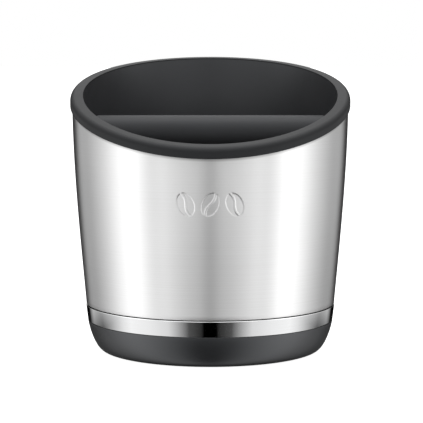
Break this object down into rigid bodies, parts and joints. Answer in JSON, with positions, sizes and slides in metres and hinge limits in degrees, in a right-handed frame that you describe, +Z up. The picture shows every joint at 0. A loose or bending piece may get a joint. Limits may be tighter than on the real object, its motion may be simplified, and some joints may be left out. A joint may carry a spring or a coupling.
{
  "type": "espresso knock box",
  "caption": "Countertop espresso knock box: slanted brushed steel drum, dark rim and base, polished band, inner bin and a padded knock bar that lifts out.",
  "frame": {"origin": "on the resting surface, under the middle of the body", "axes": "+Z up; the low side of the slanted mouth faces -Y; X along the knock bar"},
  "size_m": [0.172, 0.172, 0.1812],
  "materials": {
    "brushed_steel": "fine horizontal brushing",
    "polished_steel": "polished",
    "dark_plastic": "satin moulded",
    "dark_rubber": "matt",
    "black_seal": "matt",
    "screw_steel": "zinc plated"
  },
  "bodies": {
    "body": {"outer_shell": "brushed_steel", "trim_band": "polished_steel", "shell_gasket": "black_seal", "rim_ring": "dark_plastic", "inner_bin": "dark_plastic", "base_boot": "dark_rubber", "base_tray": "dark_plastic", "foot_ring": "dark_rubber", "base_screw_1": "screw_steel", "base_screw_2": "screw_steel", "base_screw_3": "screw_steel", "base_screw_4": "screw_steel", "saddle_pad_left": "dark_rubber", "saddle_pad_right": "dark_rubber"},
    "knock_bar": {"bar_core": "brushed_steel", "bar_sleeve": "dark_rubber", "bar_cap_left": "dark_plastic", "bar_cap_right": "dark_plastic"}
  },
  "joints": [
    {"name": "bar_lift", "type": "slide", "parent": "body", "child": "knock_bar", "axis": [0, 0, 1], "range_m": [0, 0.07]}
  ]
}
